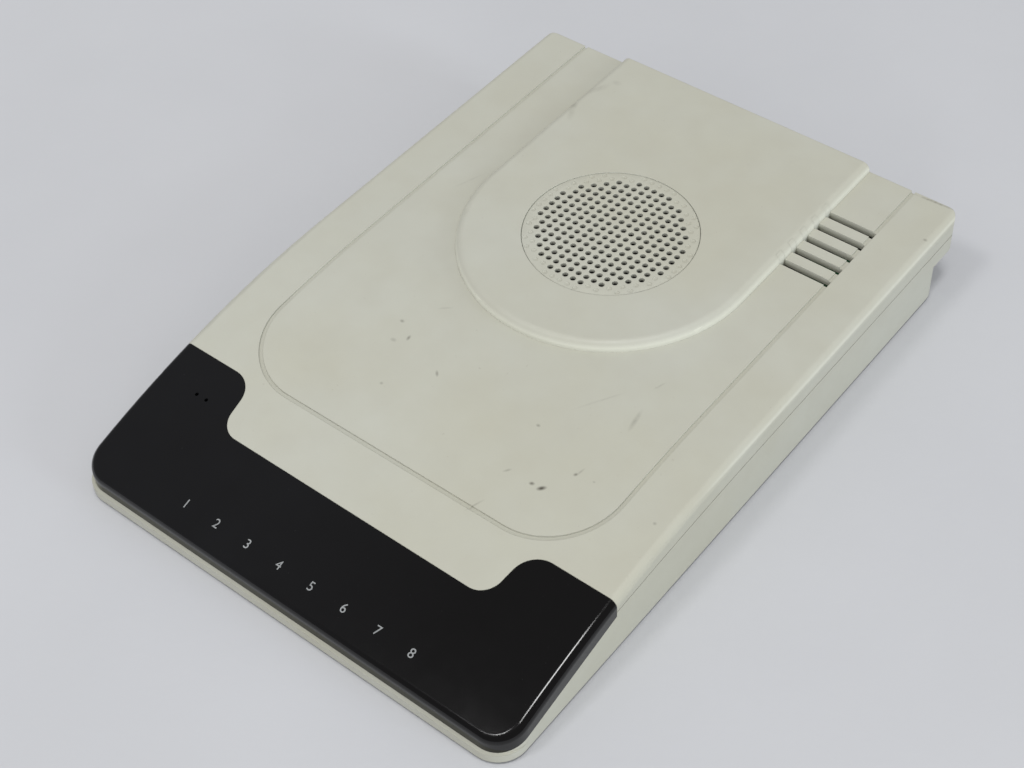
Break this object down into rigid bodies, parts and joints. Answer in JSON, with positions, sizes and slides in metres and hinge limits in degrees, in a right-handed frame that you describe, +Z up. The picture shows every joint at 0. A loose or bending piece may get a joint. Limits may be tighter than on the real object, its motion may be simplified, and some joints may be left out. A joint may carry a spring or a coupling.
{
  "type": "desktop modem",
  "caption": "Low desktop voice modem with a sloping nose, glossy black wrap-around lens, raised speaker pod with a perforated grille, and connectors recessed under a rear hood",
  "frame": {"origin": "on the table plane, under the middle of the case", "axes": "+X to the right seen from the front, +Y to the rear, +Z up; the front faces -Y"},
  "size_m": [0.1406, 0.1988, 0.0263],
  "materials": {
    "beige_shell": "fine satin moulded texture, slightly greenish off-white, lightly scuffed",
    "black_lens": "glossy edges with a fine mottled top face",
    "grille_beige": "same moulded plastic as the case, perforated",
    "foot_rubber": "matt black rubber",
    "screw_steel": "zinc-plated",
    "gasket_foam": "soft black",
    "basket_steel": "plated steel and magnet",
    "cone_paper": "dark pressed paper",
    "lead_jacket": "insulated twin wire",
    "capsule_metal": "bare metal",
    "board_green": "green solder mask",
    "chip_black": "moulded black",
    "relay_white": "plain moulded",
    "transformer_tape": "core with taped bobbin",
    "light_clear": "tinted clear",
    "socket_plastic": "black moulded",
    "contact_gold": "gold-plated",
    "connector_metal": "nickel-plated"
  },
  "bodies": {
    "case": {"top_cover": "beige_shell", "bottom_case": "beige_shell", "front_lens": "black_lens", "speaker_grille": "grille_beige", "rubber_foot_1": "foot_rubber", "rubber_foot_2": "foot_rubber", "rubber_foot_3": "foot_rubber", "rubber_foot_4": "foot_rubber", "case_screw_1": "screw_steel", "case_screw_2": "screw_steel", "case_screw_3": "screw_steel", "case_screw_4": "screw_steel", "board_screw_1": "screw_steel", "board_screw_2": "screw_steel", "board_screw_3": "screw_steel", "board_screw_4": "screw_steel", "speaker_gasket": "gasket_foam", "microphone_boot": "gasket_foam", "speaker_frame": "basket_steel", "speaker_magnet": "basket_steel", "speaker_cone": "cone_paper", "speaker_dust_cap": "cone_paper", "speaker_lead": "lead_jacket", "microphone_capsule": "capsule_metal", "crystal": "capsule_metal", "heat_sink": "capsule_metal", "main_board": "board_green", "signal_processor": "chip_black", "controller_chip": "chip_black", "memory_chips": "chip_black", "codec_chips": "chip_black", "voltage_regulator": "chip_black", "capacitors": "chip_black", "surge_arrestor": "chip_black", "relays": "relay_white", "opto_couplers": "relay_white", "lead_headers": "relay_white", "serial_insulator": "relay_white", "line_transformer": "transformer_tape", "status_lights": "light_clear", "light_guide": "light_clear", "line_jack": "socket_plastic", "phone_jack": "socket_plastic", "audio_in_jack": "socket_plastic", "audio_out_jack": "socket_plastic", "power_inlet": "socket_plastic", "power_switch": "socket_plastic", "volume_base": "socket_plastic", "line_contacts": "contact_gold", "phone_contacts": "contact_gold", "serial_contacts": "contact_gold", "serial_shell": "connector_metal", "jackscrew_1": "connector_metal", "jackscrew_2": "connector_metal", "power_pin": "connector_metal"},
    "rocker": {"power_rocker": "socket_plastic"},
    "wheel": {"volume_wheel": "socket_plastic"}
  },
  "joints": [
    {"name": "switch_rock", "type": "hinge", "parent": "case", "child": "rocker", "pos_m": [0.0533, 0.08965, 0.01545], "axis": [0, 0, 1], "range_deg": [0, 20]},
    {"name": "volume_turn", "type": "hinge", "parent": "case", "child": "wheel", "pos_m": [-0.0632, -0.04385, 0.0131], "axis": [0, 0, 1], "range_deg": [-135, 135]}
  ]
}
